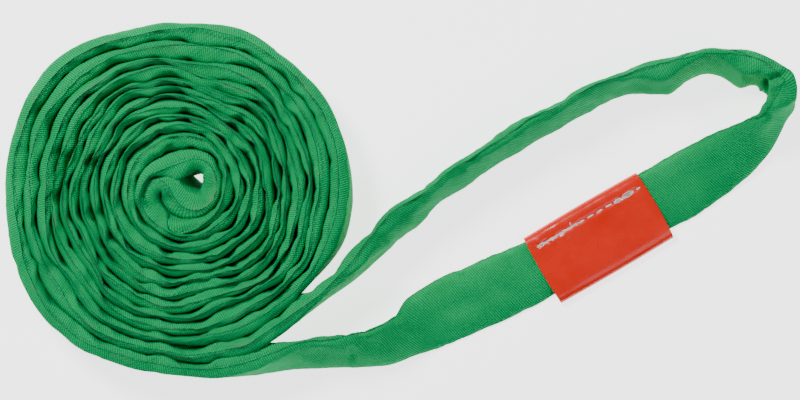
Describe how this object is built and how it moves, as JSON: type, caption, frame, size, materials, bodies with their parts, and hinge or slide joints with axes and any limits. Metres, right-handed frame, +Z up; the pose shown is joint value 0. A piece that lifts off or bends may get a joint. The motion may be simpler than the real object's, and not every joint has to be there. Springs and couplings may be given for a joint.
{
  "type": "round sling",
  "caption": "Endless polyester round sling, doubled and wound flat on edge into a coil, with one open eye and a sewn-on label sleeve.",
  "frame": {"origin": "middle of the outline of the whole sling seen from above, on the surface that it lies on", "axes": "+X from the coil towards the end of the open eye, +Y across, from the label's side of the eye to the other, +Z up out of the surface"},
  "size_m": [0.64, 0.286, 0.0512],
  "materials": {
    "cover_fabric": "green woven polyester sleeve, dusty on its ridges",
    "load_yarn": "undyed continuous polyester yarn",
    "join_thread": "green sewing thread",
    "seam_thread": "green sewing thread, dusty",
    "label_vinyl": "glossy flexible red vinyl",
    "label_thread": "white sewing thread"
  },
  "bodies": {
    "root": {"cover_coiled": "cover_fabric", "cover_label_leg": "cover_fabric", "cover_under_label": "cover_fabric", "cover_bend": "cover_fabric", "cover_return_leg": "cover_fabric", "cover_overlap": "cover_fabric", "load_yarn_1": "load_yarn", "load_yarn_2": "load_yarn", "load_yarn_3": "load_yarn", "load_yarn_4": "load_yarn", "load_yarn_5": "load_yarn", "load_yarn_6": "load_yarn", "join_thread_1": "join_thread", "join_thread_2": "join_thread", "join_thread_3": "join_thread", "join_thread_4": "join_thread", "seam_thread_coiled": "seam_thread", "seam_thread_label_leg": "seam_thread", "seam_thread_return_leg": "seam_thread", "label": "label_vinyl", "label_thread": "label_thread"}
  },
  "joints": []
}
